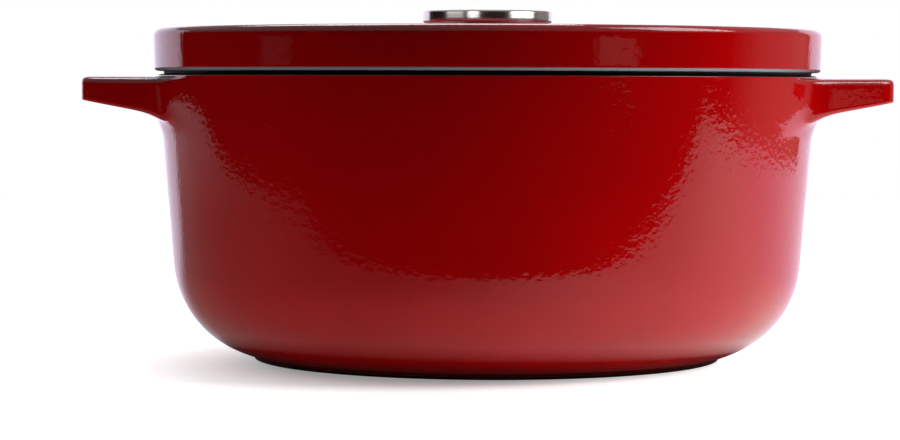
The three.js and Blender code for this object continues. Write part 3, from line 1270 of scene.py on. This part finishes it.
    distance: float = 1.167
    camera_height: float = 0.1112
    lens: float = 114.0
    sensor: float = 36.0
    axis_x: float = 486.6
    horizon_y: float = 85.5
    roll: float = 0.2
    dark: str = "0c0b0c"
    ceiling: str = "a2a3a5"
    ceiling_rise: Pair = (0.12, 0.50)
    backdrop: Panel = Panel(-52.5, 37.0, -0.3, 0.35, "f3e9ff")
    side_wall: Panel = Panel(37.0, 83.0, -0.3, 0.35, "827d7a", 8.0)
    left_panel: Panel = Panel(-111.0, -99.0, -0.11, -0.02, "555152")
    right_panel: Panel = Panel(129.0, 143.0, -0.130, -0.02, "89847f")
    soft_rise: float = 0.003
    glow: float = 1.3
    aim_height: float = 0.08
    softboxes: tuple[Lamp, ...] = (
        Lamp("overhead softbox", (0.35, 0.40, 1.20), (1.2, 0.9), 10.0),
        Lamp("right softbox", (1.35, -0.15, 0.90), (0.7, 0.6), 16.0),
        Lamp("front fill", (-0.7, -1.1, 0.30), (0.8, 0.5), 0.2),
    )
    highlights: tuple[Lamp, ...] = (
        Lamp("back highlight", (-0.2, 0.62, 1.15), (0.84, 0.62), 10.0),
        Lamp("right highlight", (0.95, -0.20, 1.00), (0.7, 0.8), 11.0),
    )
    cards: tuple[Lamp, ...] = (
        Lamp("right card", (1.83, -0.81, 0.31), (1.7, 0.28), 6.0),
        Lamp("front card", (-0.845, -1.81, 0.31), (0.63, 0.28), 1.7),
        Lamp("left card", (-1.73, -1.00, 0.31), (1.2, 0.28), 1.0),
    )

    def camera(self) -> None:
        """Sets the camera at the photograph's viewing angle."""
        data = bpy.data.cameras.new("camera")
        data.sensor_width = self.sensor
        data.lens = self.lens
        data.clip_start = 0.01
        camera = bpy.data.objects.new("camera", data)
        focal = IMAGE_WIDTH * self.lens / self.sensor
        pitch = math.atan((IMAGE_HEIGHT / 2 - self.horizon_y) / focal)
        yaw = math.atan((self.axis_x - IMAGE_WIDTH / 2) / focal)
        camera.location = (0.0, -self.distance, self.camera_height)
        turn_up = Euler((math.pi / 2 - pitch, 0.0, yaw)).to_matrix()
        camera.rotation_euler = (turn_up @ Matrix.Rotation(math.radians(self.roll), 3, "Z")).to_euler()
        bpy.context.scene.collection.objects.link(camera)
        bpy.context.scene.camera = camera

    def light(self, lamp: Lamp, mirrored: bool) -> Object:
        """Adds a lamp that is aimed at the pot.

        Args:
            lamp: The lamp to add.
            mirrored: Whether only the gloss shows it, or else it only lights the surfaces.

        Returns:
            The lamp's object.
        """
        data = bpy.data.lights.new(lamp.name, "AREA")
        data.shape = "RECTANGLE"
        data.size, data.size_y = lamp.size
        data.energy = lamp.power
        light = bpy.data.objects.new(lamp.name, data)
        light.location = lamp.at
        aim = Vector((0.0, 0.0, self.aim_height)) - Vector(lamp.at)
        light.rotation_euler = aim.to_track_quat("-Z", "Y").to_euler()
        light.visible_glossy = mirrored
        light.visible_diffuse = not mirrored
        bpy.context.scene.collection.objects.link(light)
        return light

    def reflections(self, name: str, lamps: tuple[Lamp, ...], shown_by: list[Object]) -> None:
        """Adds lamps that only some of the pieces mirror.

        Args:
            name: The name of the group of pieces.
            lamps: The lamps.
            shown_by: The pieces that mirror them.
        """
        group = bpy.data.collections.new(name)
        for piece in shown_by:
            group.objects.link(piece)
        for lamp in lamps:
            self.light(lamp, True).light_linking.receiver_collection = group

    def hang(
        self,
        tree: NodeTree,
        under: NodeSocket,
        heading: NodeSocket,
        rise: NodeSocket,
        panel: Panel,
    ) -> NodeSocket:
        """Hangs a pale panel over part of the room's horizon.

        Args:
            tree: The world's tree.
            under: The colour so far.
            heading: The direction round the pot, in radians from +Y towards +X.
            rise: The upward part of the direction.
            panel: The panel to hang.

        Returns:
            The colour with the panel in place.
        """
        soft_turn = math.radians(panel.soft)
        edges = (
            (heading, math.radians(panel.start), soft_turn),
            (heading, math.radians(panel.end), -soft_turn),
            (rise, panel.foot, self.soft_rise),
            (rise, panel.head, -self.soft_rise),
        )
        share: float | NodeSocket = 1.0
        for value, middle, soft in edges:
            # A negative softness turns the slope round, for the edges where the panel ends.
            inside = add_node(
                tree,
                "ShaderNodeMapRange",
                inputs={"Value": value, "From Min": middle - soft, "From Max": middle + soft},
            )
            share = add_node(
                tree, "ShaderNodeMath", {"operation": "MULTIPLY"}, {0: share, 1: inside.outputs[0]}
            ).outputs[0]
        hung = add_node(
            tree,
            "ShaderNodeMix",
            {"data_type": "RGBA"},
            {0: share, COLOUR_A: under, COLOUR_B: linear(panel.colour)},
        )
        return hung.outputs[COLOUR_OUT]

    def surroundings(self) -> None:
        """Sets a dark room with a backdrop and a few pale panels, which the camera sees as plain white."""
        world = bpy.data.worlds.new("studio")
        bpy.context.scene.world = world
        world.use_nodes = True
        tree = world.node_tree
        tree.nodes.clear()
        output = add_node(tree, "ShaderNodeOutputWorld")
        look = add_node(tree, "ShaderNodeTexCoord").outputs["Generated"]
        axes = add_node(tree, "ShaderNodeSeparateXYZ", inputs={0: look})
        heading = add_node(
            tree, "ShaderNodeMath", {"operation": "ARCTAN2"}, {0: axes.outputs["X"], 1: axes.outputs["Y"]}
        )
        path = add_node(tree, "ShaderNodeLightPath")
        above = add_node(
            tree,
            "ShaderNodeMapRange",
            inputs={
                "Value": axes.outputs["Z"],
                "From Min": self.ceiling_rise[0],
                "From Max": self.ceiling_rise[1],
                "To Max": path.outputs["Is Glossy Ray"],
            },
        )
        around = add_node(
            tree,
            "ShaderNodeMix",
            {"data_type": "RGBA"},
            {0: above.outputs[0], COLOUR_A: linear(self.dark), COLOUR_B: linear(self.ceiling)},
        ).outputs[COLOUR_OUT]
        for panel in (self.side_wall, self.backdrop, self.left_panel, self.right_panel):
            around = self.hang(tree, around, heading.outputs[0], axes.outputs["Z"], panel)
        room = add_node(tree, "ShaderNodeBackground", inputs={"Color": around, "Strength": self.glow})
        white = add_node(tree, "ShaderNodeBackground", inputs={"Color": linear("ffffff"), "Strength": 1.0})
        seen = add_node(
            tree,
            "ShaderNodeMixShader",
            inputs={0: path.outputs["Is Camera Ray"], 1: room.outputs[0], 2: white.outputs[0]},
        )
        tree.links.new(seen.outputs[0], output.inputs["Surface"])

    def build(self, castings: list[Object], knob: Object) -> None:
        """Sets up the whole studio.

        Args:
            castings: The pot and the lid, whose enamel mirrors the two highlights.
            knob: The knob's disc, whose steel mirrors the three cards.
        """
        self.camera()
        Table(self.backdrop.colour).build()
        for lamp in self.softboxes:
            self.light(lamp, False)
        self.reflections("enamel_only", self.highlights, castings)
        self.reflections("knob_only", self.cards, [knob])
        self.surroundings()
        bpy.context.scene.view_settings.view_transform = "Standard"


def main() -> None:
    """Builds the pot, the lid, the knob and the studio."""
    logging.basicConfig(level=logging.INFO, format="%(name)s: %(message)s")
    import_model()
    cad_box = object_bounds()
    red = GlossEnamel("red vitreous enamel", "a80204", "920103").build()
    edge = MattSurface("black iron edge", "050506", "0d0d0f", roughness=0.55, specular=0.15).build()
    seat = MattSurface("matt black seat", "0a0a0a", "141312", roughness=0.6).build()
    sand = GlossEnamel("sand vitreous enamel", "d8c9ac", "cfbf9f", roughness=0.12).build()
    ground = GroundIron("ground iron lip", "82858c").build()
    pot = PotCasting().build([red, edge, seat, sand])
    lid = LidCasting().build([red, ground, seat, sand])
    brushed = BrushedSteel("brushed stainless steel", "b0aca8", roughness=0.15, anisotropy=0.3).build()
    turned = BrushedSteel("turned stainless steel", "a09c98", roughness=0.3).build()
    silicone = MattSurface("black silicone", "161616", "222120", roughness=0.7).build()
    knob = Knob()
    disc = knob.disc(brushed)
    knob.post(turned)
    knob.soft_washer(silicone)
    knob.flat_washer(turned)
    knob.spring_washer(turned)
    knob.screw(turned)
    Studio().build([pot, lid], disc)
    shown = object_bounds()
    boxes = {"cad": [list(p) for p in cad_box], "visual": [list(p) for p in shown]}
    for name, box in boxes.items():
        log.info("%s box in mm: %s", name, [[round(c / MM, 3) for c in p] for p in box])


if __name__ == "__main__":
    main()
